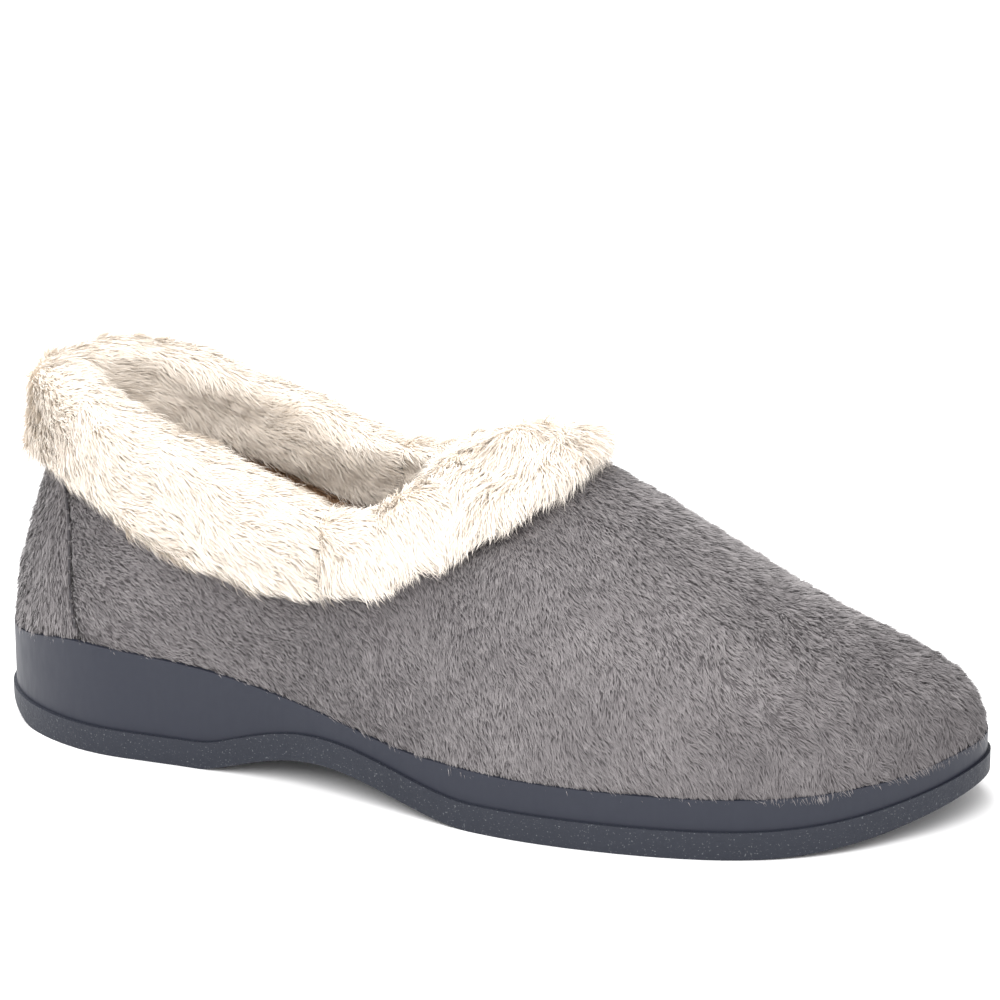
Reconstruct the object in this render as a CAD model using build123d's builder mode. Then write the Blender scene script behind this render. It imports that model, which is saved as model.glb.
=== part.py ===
"""Fluffy house slipper for the right foot: a cemented wedge sole, a plush upper with a heel
panel, and a deep fur cuff folded over the topline.

The slipper stands on z = 0 with its toe towards +X and the inner side of the foot towards +Y.
Its origin is under the middle of its bounding box. Lengths are in millimetres, and a station is
a distance along the sole from the back of the heel.
"""

import os
from math import pi, radians, sin, sqrt

from build123d import *
from scipy.interpolate import PchipInterpolator

# Plan of the sole
LENGTH = 252.0
HEEL_WIDTH = 63.5
WAIST_WIDTH = 64.5
BALL_WIDTH = 91.5
HEEL_ROUND = 43.0  # the heel's round ends here
WAIST_STATION = 82.0
BALL_STATION = 160.0
TOE_SWING = 9.5  # how far the tip of the toe lies towards the inner side
WAIST_SWING = -2.5
HEEL_CURVE = (1.9, 1.77)  # exponents of the superellipses that round the heel and the toe,
TOE_CURVE = (2.1, 1.85)  # along the sole and across it

# Side view of the sole
HEEL_HEIGHT = 28.5  # top edge of the sole at the seat of the heel
BALL_HEIGHT = 15.0  # top edge of the sole at the ball
TREAD_HEIGHT = 7.0
ARCH_LIFT = 7.5
ARCH_START = 63.0
ARCH_END = 138.0
TOE_SPRING = 9.3
TOE_SPRING_START = 196.0
HEEL_BEVEL = 4.8
HEEL_BEVEL_LENGTH = 16.0
TREAD_LEDGE = 0.8  # how far the tread stands out all round beyond the wedge

# The seat of the upper in the sole
RIM_WIDTH = 2.2
RIM_DEPTH = 3.0
GROOVE_WIDTH = 2.2
GROOVE_DEPTH = 1.6
GROOVE_PITCH = 7.0
GROOVE_BORDER = 7.0

# Thicknesses of the sheets
UPPER_THICKNESS = 3.0
STIFFENER_THICKNESS = 1.2
LINING_THICKNESS = 3.5
CUFF_THICKNESS = 6.0
CUFF_FOLD = 3.0
MARGIN_THICKNESS = 1.6
MARGIN_WIDTH = 12.0
BOARD_THICKNESS = 2.0
FOAM_THICKNESS = 4.0
SOCK_THICKNESS = 1.6
FIT_GAP = 0.3  # clearance between pieces that are laid into each other

# Heights of the upper above the top edge of the sole
HEEL_TOPLINE = 65.0
SIDE_TOPLINE = 47.5
INSTEP_RISE = 68.0
THROAT_STATION = 123.0
CUFF_FRONT_STATION = 158.0
CUFF_DROP_HEEL = 22.0  # how far the cuff hangs down outside, from the topline
CUFF_DROP_SIDE = 20.0
CUFF_TURN_IN = 17.0  # how far the cuff reaches down inside
CUFF_SEAM_STATION = 96.0
COUNTER_LENGTH = 66.0
COUNTER_RISE = 34.0
PUFF_LENGTH = 46.0
TAPE_WIDTH = 8.0
HEEL_LEAN = 13.0  # how far the back of the heel leans forward at the topline

# Stitches
STITCH_LENGTH = 2.6
STITCH_PITCH = 3.6
STITCH_DIAMETER = 0.7
HEEL_SEAM_STATION = 25.0

# The planes that the upper is lofted through
LOFT_TILT = 25.0
LOFT_PLANES = 18
LOFT_HEADROOM = 7.0  # how far they reach above the topline at the heel
RING_POINTS = 20  # on each side of the foot


def curve_through(*stations):
    """A smooth curve through (place, value) pairs that never overshoots between them."""
    places, values = zip(*stations)
    return PchipInterpolator(places, values)


def ease(t):
    """Rise smoothly from 0 to 1 as t goes from 0 to 1."""
    t = min(max(t, 0.0), 1.0)
    return t * t * (3 - 2 * t)


def share(part):
    """The station at a share of the sole's length."""
    return part * LENGTH


def to_throat(part):
    """The station at a share of the way from the heel to the throat of the mouth."""
    return part * THROAT_STATION


def over_instep(part):
    """The station at a share of the way from the throat to the front of the cuff."""
    return THROAT_STATION + part * (CUFF_FRONT_STATION - THROAT_STATION)


def to_toe(part):
    """The station at a share of the way from the throat to the tip of the toe."""
    return THROAT_STATION + part * (LENGTH - THROAT_STATION)


# ---------------------------------------------------------------- plan of the sole

swing = curve_through(
    (-share(0.1), 0.0), (0.0, 0.0), (share(0.24), 1.0), (share(0.44), WAIST_SWING),
    (BALL_STATION, -0.5), (share(0.79), 0.05 * TOE_SWING), (share(0.853), 0.19 * TOE_SWING),
    (share(0.913), 0.5 * TOE_SWING), (share(0.952), 0.8 * TOE_SWING), (LENGTH, TOE_SWING),
    (share(1.1), TOE_SWING),
)


def full_width(station):
    """Half width of the sole, without the rounding of the heel and the toe."""
    heel, waist, ball = HEEL_WIDTH / 2, WAIST_WIDTH / 2, BALL_WIDTH / 2
    if station < WAIST_STATION:
        return heel + (waist - heel) * ease((station - HEEL_ROUND) / (WAIST_STATION - HEEL_ROUND))
    return waist + (ball - waist) * ease((station - WAIST_STATION) / (BALL_STATION - WAIST_STATION))


def rounded_end(t, curve):
    """Share of its full width that an end has at t, from 0 where its round starts to 1 at its tip."""
    along, across = curve
    return (1 - t**along) ** (1 / across)


def half_width(station, inset):
    """Half width of the sole's outline moved in by inset."""
    moved = (station - inset) * LENGTH / (LENGTH - 2 * inset)
    moved = min(max(moved, 0.0), LENGTH)
    width = max(full_width(moved) - inset, 1.0)
    if moved < HEEL_ROUND:
        return width * rounded_end(1 - moved / HEEL_ROUND, HEEL_CURVE)
    if moved > BALL_STATION:
        return width * rounded_end((moved - BALL_STATION) / (LENGTH - BALL_STATION), TOE_CURVE)
    return width


# ---------------------------------------------------------------- side view

feather = curve_through(
    (-share(0.1), HEEL_HEIGHT - 5), (0.0, HEEL_HEIGHT - 5), (share(0.12), HEEL_HEIGHT),
    (share(0.24), BALL_HEIGHT + 0.86 * (HEEL_HEIGHT - BALL_HEIGHT)),
    (share(0.365), BALL_HEIGHT + 0.49 * (HEEL_HEIGHT - BALL_HEIGHT)),
    (share(0.5), BALL_HEIGHT + 0.07 * (HEEL_HEIGHT - BALL_HEIGHT)),
    (share(0.62), BALL_HEIGHT), (share(0.8), BALL_HEIGHT), (share(0.93), BALL_HEIGHT + 1.3),
    (LENGTH, BALL_HEIGHT + 4.6), (share(1.1), BALL_HEIGHT + 7),
)

ridge_rise = curve_through(
    (-share(0.1), INSTEP_RISE + 42), (to_throat(0.656), INSTEP_RISE + 42),
    (to_throat(0.82), INSTEP_RISE + 36), (to_throat(0.912), INSTEP_RISE + 12),
    (to_throat(0.975), INSTEP_RISE - 5), (to_toe(0.023), INSTEP_RISE - 7.5),
    (to_toe(0.082), INSTEP_RISE - 3.5), (to_toe(0.133), INSTEP_RISE - 0.8),
    (to_toe(0.164), INSTEP_RISE - 1.2), (to_toe(0.258), INSTEP_RISE * 0.917),
    (to_toe(0.34), INSTEP_RISE * 0.838), (to_toe(0.441), INSTEP_RISE * 0.727),
    (to_toe(0.543), INSTEP_RISE * 0.622), (to_toe(0.637), INSTEP_RISE * 0.527),
    (to_toe(0.736), INSTEP_RISE * 0.442), (to_toe(0.83), INSTEP_RISE * 0.356),
    (to_toe(0.873), INSTEP_RISE * 0.31), (to_toe(0.914), INSTEP_RISE * 0.25),
    (to_toe(0.953), INSTEP_RISE * 0.17), (to_toe(0.981), INSTEP_RISE * 0.08), (LENGTH, 0.0),
    (share(1.1), -20.0),
)

lean = curve_through(
    (-100.0, 0.0), (2.0, 0.0), (16.0, 0.18 * HEEL_LEAN), (27.0, 0.42 * HEEL_LEAN),
    (38.0, 0.72 * HEEL_LEAN), (52.0, 0.95 * HEEL_LEAN), (HEEL_TOPLINE, HEEL_LEAN),
    (HEEL_TOPLINE + 60.0, HEEL_LEAN + 2),
)

TOPLINE = (
    (-share(0.1), HEEL_TOPLINE + 2), (0.0, HEEL_TOPLINE), (to_throat(0.164), HEEL_TOPLINE - 2),
    (to_throat(0.277), HEEL_TOPLINE - 6), (to_throat(0.389), SIDE_TOPLINE + 8),
    (to_throat(0.533), SIDE_TOPLINE + 3.5), (to_throat(0.645), SIDE_TOPLINE + 1),
    (to_throat(0.758), SIDE_TOPLINE), (to_throat(0.84), SIDE_TOPLINE + 1.8),
    (to_throat(0.893), SIDE_TOPLINE + 5), (to_throat(0.942), SIDE_TOPLINE + 9),
    (to_throat(0.972), SIDE_TOPLINE + 12), (THROAT_STATION, SIDE_TOPLINE + 19),
)


def topline_moved(drop):
    """The topline moved into the upper by drop: downwards at the side, forwards at the throat."""
    pairs = []
    for station, rise in TOPLINE:
        forward = ease((station - to_throat(0.676)) / (THROAT_STATION - to_throat(0.676)))
        pairs.append((station + drop * forward, rise - drop * (1 - forward)))
    return curve_through(*pairs)


seam_station = curve_through(
    (-60.0, HEEL_SEAM_STATION + 6), (0.0, HEEL_SEAM_STATION + 4), (12.0, HEEL_SEAM_STATION + 2),
    (27.0, HEEL_SEAM_STATION + 1), (40.0, HEEL_SEAM_STATION - 3), (52.0, HEEL_SEAM_STATION - 8),
    (HEEL_TOPLINE + 10, HEEL_SEAM_STATION - 15),
)

cuff_edge_rise = curve_through(
    (-share(0.1), HEEL_TOPLINE - CUFF_DROP_HEEL + 4), (0.0, HEEL_TOPLINE - CUFF_DROP_HEEL + 3),
    (to_throat(0.184), HEEL_TOPLINE - CUFF_DROP_HEEL),
    (to_throat(0.266), HEEL_TOPLINE - CUFF_DROP_HEEL - 3),
    (to_throat(0.369), SIDE_TOPLINE - CUFF_DROP_SIDE + 7.5),
    (to_throat(0.471), SIDE_TOPLINE - CUFF_DROP_SIDE + 1.7),
    (to_throat(0.615), SIDE_TOPLINE - CUFF_DROP_SIDE),
    (to_throat(0.731), SIDE_TOPLINE - CUFF_DROP_SIDE + 2),
    (to_throat(0.799), SIDE_TOPLINE - CUFF_DROP_SIDE + 5.5),
    (to_throat(0.887), SIDE_TOPLINE - CUFF_DROP_SIDE + 10.2),
    (to_throat(0.996), SIDE_TOPLINE - CUFF_DROP_SIDE + 18),
    (over_instep(0.243), SIDE_TOPLINE - CUFF_DROP_SIDE + 24),
    (over_instep(0.626), INSTEP_RISE - 6.5), (over_instep(0.829), INSTEP_RISE - 2.5),
    (CUFF_FRONT_STATION, INSTEP_RISE + 3),
)

# Upper limit of the cuff over the instep, where its roll is fullest.
cuff_crest_rise = curve_through(
    (to_throat(0.82), INSTEP_RISE + 60), (to_throat(0.902), INSTEP_RISE + 26),
    (to_throat(0.953), INSTEP_RISE - 4), (THROAT_STATION, INSTEP_RISE - 3),
    (over_instep(0.157), INSTEP_RISE - 0.5), (over_instep(0.302), INSTEP_RISE + 3.5),
    (over_instep(0.517), INSTEP_RISE + 7.5), (over_instep(0.697), INSTEP_RISE + 8),
    (over_instep(0.806), INSTEP_RISE + 6.5), (over_instep(0.914), INSTEP_RISE + 3.5),
    (CUFF_FRONT_STATION + 1, INSTEP_RISE - 3),
)


def ground(station):
    """Height of the underside, from the bevelled heel over the arch to the toe spring."""
    bevel = HEEL_BEVEL * max(0.0, 1 - max(station, 0.0) / HEEL_BEVEL_LENGTH) ** 2
    return bevel + arch(station) + toe_spring(station)


def arch(station):
    """Lift of the waist of the sole off the floor."""
    t = (station - ARCH_START) / (ARCH_END - ARCH_START)
    if not 0 < t < 1:
        return 0.0
    return ARCH_LIFT * sin(pi * t**0.85) ** 1.6


def toe_spring(station):
    """Lift of the front of the sole off the floor."""
    return TOE_SPRING * max(0.0, (station - TOE_SPRING_START) / (LENGTH - TOE_SPRING_START)) ** 2.6


def split_height(station):
    """Height of the joint between the tread and the wedge."""
    return TREAD_HEIGHT + arch(station) + 0.8 * toe_spring(station)


def platform(station):
    """Height of the seat that the upper is cemented to, inside the rim."""
    return feather(station) - RIM_DEPTH


# ---------------------------------------------------------------- shared construction

X_HEEL = -LENGTH / 2
OVERRUN = 12.0  # how far cutting shapes reach past the sole
TALL = 200.0  # higher than any part of the slipper
STATION_STEP = 7.0


def stations_between(first, last):
    """Stations from first to last, crowded towards both ends where the outline turns."""
    count = RING_POINTS
    steps = [0.5 - 0.5 * cos_share(index / count) for index in range(count + 1)]
    return [first + (last - first) * step for step in steps]


def cos_share(t):
    """Cosine of half a turn times t."""
    return sin(pi / 2 - pi * t)


def closed_loop(half, first, last, lift):
    """Points of a closed loop round the foot, from the heel along the outer side and back.

    half gives the half width at a station, and lift the height. The points are in three
    dimensions, and the first is the point at the back of the heel.
    """
    outer = stations_between(first, last)
    points = []
    for station in outer[:-1]:
        points.append((station, -1, 0.0 if station == outer[0] else half(station)))
    for station in outer[:0:-1]:
        points.append((station, 1, 0.0 if station == outer[-1] else half(station)))
    return [
        Vector(X_HEEL + station, float(swing(station)) + side * width, lift(station))
        for station, side, width in points
    ]


def add_loop(points):
    """Add a closed smooth loop whose knots are the same on every loop of a loft."""
    knots = [index / len(points) for index in range(len(points) + 1)]
    add(Edge.make_spline(points, periodic=True, parameters=knots))


def outline_prism(inset, bottom, top):
    """Sketch and extrude the sole's outline, moved in by inset, from bottom to top."""
    with BuildPart() as prism:
        with BuildSketch(Plane.XY.offset(bottom)):
            with BuildLine():
                add_loop(closed_loop(
                    lambda station: half_width(station, inset), inset, LENGTH - inset, lambda _: 0.0
                ))
            make_face()
        extrude(amount=top - bottom)
    return prism.part


def profile_slab(low, high, first=-OVERRUN, last=None):
    """A slab right across the slipper between two heights that vary along its length."""
    last = LENGTH + OVERRUN if last is None else last
    count = max(2, round((last - first) / STATION_STEP))
    places = [first + (last - first) * index / count for index in range(count + 1)]
    with BuildPart() as slab:
        with BuildSketch(Plane.XZ):
            with BuildLine():
                under = Spline(*[(X_HEEL + s, float(low(s))) for s in places])
                over = Spline(*[(X_HEEL + s, float(high(s))) for s in places])
                Line(under @ 0, over @ 0)
                Line(under @ 1, over @ 1)
            make_face()
        extrude(amount=BALL_WIDTH, both=True)
    return slab.part


def crown(station, depth):
    """Height of the ridge above the sole's top edge, on the surface moved in by depth."""
    moved = (station - depth) * LENGTH / (LENGTH - 2 * depth)
    rise = float(ridge_rise(moved))
    if depth <= 0:
        return rise - 1.1 * depth
    return rise * rise / (rise + 1.1 * depth) if rise > 0 else rise


def upper_half_width(station, height, depth):
    """Half width of the upper's surface, moved in by depth, at a height above the floor."""
    rise = height - float(feather(station))
    forward = float(lean(rise)) * (1 - ease((station - share(0.08)) / share(0.24)))
    width = half_width(station - forward, RIM_WIDTH + depth)
    if rise <= 0:
        return width
    top = crown(station, depth)
    return width * sqrt(1 - (rise / top) ** 2) if rise < top else 0.0


def loft_plane(level):
    """A plane that rises towards the toe and is level high at the back of the heel."""
    return Plane(
        origin=(X_HEEL, 0, level),
        x_dir=(sin(radians(90 - LOFT_TILT)), 0, sin(radians(LOFT_TILT))),
        z_dir=(-sin(radians(LOFT_TILT)), 0, sin(radians(90 - LOFT_TILT))),
    )


def loft_ends(level, depth):
    """Stations where the upper's surface, moved in by depth, meets a loft plane at heel and toe."""
    slope = sin(radians(LOFT_TILT)) / sin(radians(90 - LOFT_TILT))
    inset = RIM_WIDTH + depth
    back = inset
    for _ in range(20):
        back = inset + float(lean(level + back * slope - float(feather(back))))
    low, high = share(0.2), LENGTH - inset
    for _ in range(50):
        middle = (low + high) / 2
        rise = level + middle * slope - float(feather(middle))
        if rise < max(crown(middle, depth), 0.0):
            low = middle
        else:
            high = middle
    return back, low


def last_shape(depth):
    """The closed body inside the upper's surface moved in by depth.

    It is lofted through planes that lean back, so that each one crosses both the wall of the
    heel and the slope of the instep squarely. It reaches well below the sole and well above the
    topline, and each piece is cut from it.
    """
    slope = sin(radians(LOFT_TILT)) / sin(radians(90 - LOFT_TILT))
    toe_level = float(feather(LENGTH)) - LENGTH * slope
    heel_level = HEEL_HEIGHT + HEEL_TOPLINE + LOFT_HEADROOM
    step = (heel_level - toe_level) / LOFT_PLANES
    levels = [toe_level + step * index for index in range(-1, LOFT_PLANES + 1)]
    with BuildPart() as shape:
        for level in levels:
            plane = loft_plane(level)
            back, front = loft_ends(level, depth)
            height = lambda station, level=level: level + station * slope
            loop = closed_loop(
                lambda station: upper_half_width(station, height(station), depth), back, front, height
            )
            with BuildSketch(plane):
                with BuildLine():
                    add_loop([plane.to_local_coords(point) for point in loop])
                make_face()
        loft()
    return shape.part


def below(curve, drop=0.0):
    """A height curve above the floor, from one above the sole's top edge, moved down by drop."""
    return lambda station: float(feather(station)) + float(curve(station)) - drop


def side_region(curve, last):
    """All that lies above a height curve, right across the slipper, behind a last station."""
    return profile_slab(below(curve), lambda _: TALL, -OVERRUN, last)


def behind_seam():
    """All that lies behind the heel seam, right across the slipper."""
    rises = [-60 + index * 9 for index in range(15)]
    with BuildPart() as region:
        with BuildSketch(Plane.XZ):
            with BuildLine():
                edge = Spline(*[
                    (X_HEEL + float(seam_station(rise)), HEEL_HEIGHT + rise)
                    for rise in rises if rise <= HEEL_TOPLINE + 10
                ])
                top = Line(edge @ 1, (X_HEEL - 2 * OVERRUN, (edge @ 1).Y))
                down = Line(top @ 1, (X_HEEL - 2 * OVERRUN, (edge @ 0).Y))
                Line(down @ 1, edge @ 0)
            make_face()
        extrude(amount=BALL_WIDTH, both=True)
    return region.part


def stitch_row(points):
    """A row of separate stitches, each a short rod along the row and one diameter thick."""
    with BuildPart() as row:
        for start, end in zip(points[::2], points[1::2]):
            middle = (start + end) / 2
            with Locations(Plane(origin=middle, z_dir=end - start).location):
                Cylinder(STITCH_DIAMETER / 2, (end - start).length)
    return row.part


def on_surface(station, height, side, depth):
    """The point of the upper's surface, moved in by depth, at a station and a height."""
    width = upper_half_width(station, height, depth)
    return Vector(X_HEEL + station, float(swing(station)) + side * width, height)


# ---------------------------------------------------------------- bodies that pieces are cut from

surface = last_shape(0)
upper_inside = last_shape(UPPER_THICKNESS)
stiffener_inside = last_shape(UPPER_THICKNESS + STIFFENER_THICKNESS)
foot_space = last_shape(UPPER_THICKNESS + LINING_THICKNESS)
cuff_outside = last_shape(-CUFF_THICKNESS)
wall_middle = last_shape(UPPER_THICKNESS / 2)

MARGIN_TOP = MARGIN_THICKNESS - RIM_DEPTH  # heights from here on are above the sole's top edge
BOARD_TOP = MARGIN_TOP + BOARD_THICKNESS
FOAM_TOP = BOARD_TOP + FOAM_THICKNESS
SOCK_TOP = FOAM_TOP + SOCK_THICKNESS


def level(height):
    """A height curve that stays at one height above the sole's top edge."""
    return lambda station: float(feather(station)) + height


mouth = side_region(topline_moved(0), THROAT_STATION)
over_fold = side_region(topline_moved(-CUFF_FOLD), THROAT_STATION - CUFF_FOLD)
over_turn_in = side_region(topline_moved(CUFF_TURN_IN), THROAT_STATION + CUFF_TURN_IN)
over_tape_edge = side_region(topline_moved(TAPE_WIDTH), THROAT_STATION + TAPE_WIDTH)
over_cuff_edge = side_region(cuff_edge_rise, CUFF_FRONT_STATION)
over_board = profile_slab(level(BOARD_TOP), lambda _: TALL)
under_counter_edge = profile_slab(
    level(0),
    lambda s: float(feather(s)) + BOARD_TOP + COUNTER_RISE * (1 - (s / COUNTER_LENGTH) ** 2) + 3,
    -OVERRUN,
    COUNTER_LENGTH,
)
toe_end = profile_slab(level(0), lambda _: TALL, LENGTH - PUFF_LENGTH, LENGTH + OVERRUN)
over_crest = profile_slab(
    below(cuff_crest_rise), lambda _: TALL, to_throat(0.82), CUFF_FRONT_STATION + 1
)
heel_end = behind_seam()
rear_half = profile_slab(lambda _: -OVERRUN, lambda _: TALL, -2 * OVERRUN, CUFF_SEAM_STATION)


# ---------------------------------------------------------------- sole

# The tread is the moulded bottom layer: flat under the heel and the ball, with cross grooves.
with BuildPart() as outsole_tread:
    with BuildSketch(Plane.XZ):
        with BuildLine():
            under = []
            for first, last in (
                (-OVERRUN, HEEL_BEVEL_LENGTH), (HEEL_BEVEL_LENGTH, ARCH_START), (ARCH_START, ARCH_END),
                (ARCH_END, TOE_SPRING_START), (TOE_SPRING_START, LENGTH + OVERRUN),
            ):
                count = max(1, round((last - first) / STATION_STEP))
                places = [first + (last - first) * index / count for index in range(count + 1)]
                points = [(X_HEEL + s, ground(s)) for s in places]
                flat = max(ground(s) for s in places) == 0
                under.append(Line(points[0], points[-1]) if flat else Spline(*points))
            count = round((LENGTH + 2 * OVERRUN) / STATION_STEP)
            places = [-OVERRUN + (LENGTH + 2 * OVERRUN) * index / count for index in range(count + 1)]
            over = Spline(*[(X_HEEL + s, split_height(s)) for s in places])
            Line(under[0] @ 0, over @ 0)
            Line(under[-1] @ 1, over @ 1)
        make_face()
    extrude(amount=BALL_WIDTH, both=True)
    add(outline_prism(0, -OVERRUN, TALL), mode=Mode.INTERSECT)
    station = HEEL_BEVEL_LENGTH
    while station < TOE_SPRING_START + 30:
        if not ARCH_START - 6 < station < ARCH_END + 4:
            width = 2 * (half_width(station, 0) - GROOVE_BORDER)
            with Locations((X_HEEL + station, float(swing(station)), ground(station))):
                Box(GROOVE_WIDTH, width, 2 * GROOVE_DEPTH, mode=Mode.SUBTRACT)
        station += GROOVE_PITCH

# The wedge is the smooth layer above it, dished inside its rim to seat the upper.
with BuildPart() as midsole_wedge:
    add(outline_prism(TREAD_LEDGE, -OVERRUN, TALL))
    add(profile_slab(split_height, feather), mode=Mode.INTERSECT)
    with BuildPart(mode=Mode.PRIVATE) as dish:
        add(outline_prism(RIM_WIDTH - FIT_GAP, -OVERRUN, TALL))
        add(profile_slab(platform, lambda _: TALL), mode=Mode.INTERSECT)
    add(dish.part, mode=Mode.SUBTRACT)

# The filler lies in the dish, inside the upper's turned-under margin.
with BuildPart() as bottom_filler:
    add(outline_prism(RIM_WIDTH + MARGIN_WIDTH + FIT_GAP, -OVERRUN, TALL))
    add(profile_slab(platform, level(MARGIN_TOP)), mode=Mode.INTERSECT)

# The board closes the upper's underside, and the lining stands on its edge.
with BuildPart() as insole_board:
    add(outline_prism(RIM_WIDTH + UPPER_THICKNESS + FIT_GAP, -OVERRUN, TALL))
    add(profile_slab(level(MARGIN_TOP), level(BOARD_TOP)), mode=Mode.INTERSECT)

with BuildPart() as footbed_foam:
    add(foot_space)
    add(profile_slab(level(BOARD_TOP), level(FOAM_TOP)), mode=Mode.INTERSECT)

with BuildPart() as sock_lining:
    add(foot_space)
    add(profile_slab(level(FOAM_TOP), level(SOCK_TOP)), mode=Mode.INTERSECT)


# ---------------------------------------------------------------- upper

# The plush shell, with its margin turned under the board, is cut into two at the heel seam.
with BuildPart() as shell:
    add(surface)
    add(profile_slab(platform, lambda _: TALL), mode=Mode.INTERSECT)
    with BuildPart(mode=Mode.PRIVATE) as hollow:
        add(upper_inside)
        add(profile_slab(level(MARGIN_TOP), lambda _: TALL), mode=Mode.INTERSECT)
    add(hollow.part, mode=Mode.SUBTRACT)
    with BuildPart(mode=Mode.PRIVATE) as margin_opening:
        add(outline_prism(RIM_WIDTH + MARGIN_WIDTH, -OVERRUN, TALL))
        add(profile_slab(lambda _: -OVERRUN, level(BOARD_TOP)), mode=Mode.INTERSECT)
    add(margin_opening.part, mode=Mode.SUBTRACT)
    add(mouth, mode=Mode.SUBTRACT)

with BuildPart() as vamp:
    add(shell.part)
    add(heel_end, mode=Mode.SUBTRACT)

with BuildPart() as heel_panel:
    add(shell.part)
    add(heel_end, mode=Mode.INTERSECT)

# One thin layer lies between shell and lining: a counter that cups the heel, a puff that holds
# the toe round, a tape that keeps the mouth from stretching, and soft foam everywhere else.
with BuildPart() as layer:
    add(upper_inside)
    add(stiffener_inside, mode=Mode.SUBTRACT)
    add(over_board, mode=Mode.INTERSECT)
    add(mouth, mode=Mode.SUBTRACT)

with BuildPart() as heel_counter:
    add(layer.part)
    add(under_counter_edge, mode=Mode.INTERSECT)

with BuildPart() as toe_puff:
    add(layer.part)
    add(toe_end, mode=Mode.INTERSECT)

with BuildPart() as topline_tape:
    add(layer.part)
    add(over_tape_edge, mode=Mode.INTERSECT)

with BuildPart() as foam_interlining:
    add(layer.part)
    add(over_tape_edge, mode=Mode.SUBTRACT)
    add(under_counter_edge, mode=Mode.SUBTRACT)
    add(toe_end, mode=Mode.SUBTRACT)


# ---------------------------------------------------------------- lining

with BuildPart() as lining:
    add(stiffener_inside)
    add(foot_space, mode=Mode.SUBTRACT)
    add(over_board, mode=Mode.INTERSECT)
    add(over_turn_in, mode=Mode.SUBTRACT)

with BuildPart() as quarter_lining:
    add(lining.part)
    add(rear_half, mode=Mode.INTERSECT)

with BuildPart() as vamp_lining:
    add(lining.part)
    add(rear_half, mode=Mode.SUBTRACT)


# ---------------------------------------------------------------- fur cuff

# The wall that the cuff straddles: the shell and the layer inside it, up to the topline.
with BuildPart() as wall:
    add(surface)
    add(stiffener_inside, mode=Mode.SUBTRACT)
    add(mouth, mode=Mode.SUBTRACT)


def all_but(region):
    """Everything near the slipper that is not in a region behind some station."""
    with BuildPart() as rest:
        with Locations((0, 0, TALL / 2 - OVERRUN)):
            Box(LENGTH + OVERRUN, 1.8 * BALL_WIDTH, 2 * TALL)
        add(region, mode=Mode.SUBTRACT)
    return rest.part


# The cuff hangs outside the shell, folds over the topline and turns in to meet the lining.
with BuildPart() as cuff:
    add(cuff_outside)
    add(foot_space, mode=Mode.SUBTRACT)
    add(over_fold, mode=Mode.SUBTRACT)
    add(over_crest, mode=Mode.SUBTRACT)
    add(wall.part, mode=Mode.SUBTRACT)
    with BuildPart(mode=Mode.PRIVATE) as outside_edge:
        add(all_but(over_cuff_edge))
        add(wall_middle, mode=Mode.SUBTRACT)
    add(outside_edge.part, mode=Mode.SUBTRACT)
    with BuildPart(mode=Mode.PRIVATE) as inside_edge:
        add(all_but(over_turn_in))
        add(wall_middle, mode=Mode.INTERSECT)
    add(inside_edge.part, mode=Mode.SUBTRACT)

with BuildPart() as rear_cuff:
    add(cuff.part)
    add(rear_half, mode=Mode.INTERSECT)

with BuildPart() as front_cuff:
    add(cuff.part)
    add(rear_half, mode=Mode.SUBTRACT)


# ---------------------------------------------------------------- stitches

THREAD_STAND_OFF = STITCH_DIAMETER / 2 + FIT_GAP


def heel_seam_row(side):
    """Ends of the stitches down one side's heel seam, from under the cuff to the sole."""
    points = []
    rise = 3.0
    while rise < HEEL_TOPLINE - CUFF_DROP_HEEL - 3:
        for end in (rise, rise + STITCH_LENGTH):
            place = float(seam_station(end))
            points.append(on_surface(place, HEEL_HEIGHT + end, side, -THREAD_STAND_OFF))
        rise += STITCH_PITCH
    return points


def lining_seam_row(side):
    """Ends of the stitches along one side's joint between the lining and the turned-in cuff."""
    edge = topline_moved(CUFF_TURN_IN)
    points = []
    station = share(0.08)
    while station < THROAT_STATION:
        for end in (station, station + STITCH_LENGTH):
            height = float(feather(end)) + float(edge(end))
            depth = UPPER_THICKNESS + LINING_THICKNESS + THREAD_STAND_OFF
            points.append(on_surface(end, height, side, depth))
        station += STITCH_PITCH
    return points


with BuildPart() as heel_seam_stitches:
    for side in (-1, 1):
        add(stitch_row(heel_seam_row(side)))

with BuildPart() as lining_seam_stitches:
    for side in (-1, 1):
        add(stitch_row(lining_seam_row(side)))


# ---------------------------------------------------------------- writing

PIECES = {
    "outsole_tread": outsole_tread,
    "midsole_wedge": midsole_wedge,
    "bottom_filler": bottom_filler,
    "insole_board": insole_board,
    "footbed_foam": footbed_foam,
    "sock_lining": sock_lining,
    "vamp": vamp,
    "heel_panel": heel_panel,
    "heel_counter": heel_counter,
    "toe_puff": toe_puff,
    "topline_tape": topline_tape,
    "foam_interlining": foam_interlining,
    "vamp_lining": vamp_lining,
    "quarter_lining": quarter_lining,
    "rear_cuff": rear_cuff,
    "front_cuff": front_cuff,
    "heel_seam_stitches": heel_seam_stitches,
    "lining_seam_stitches": lining_seam_stitches,
}

os.makedirs("parts", exist_ok=True)
for name, piece in PIECES.items():
    piece.part.label = name
    export_step(piece.part, f"parts/{name}.step")
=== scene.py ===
"""Looks of a fluffy house slipper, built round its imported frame.

The frame gives every piece's place. The soft pieces get a cloth skin made from the frame's own
solid and a pile of short hairs that stands on it; the sole gets satin walls and a grainy tread.
"""

import logging
import math
from dataclasses import dataclass, field
from enum import Enum

import bmesh
import bpy
import numpy as np
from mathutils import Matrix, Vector
from mathutils.bvhtree import BVHTree


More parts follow.
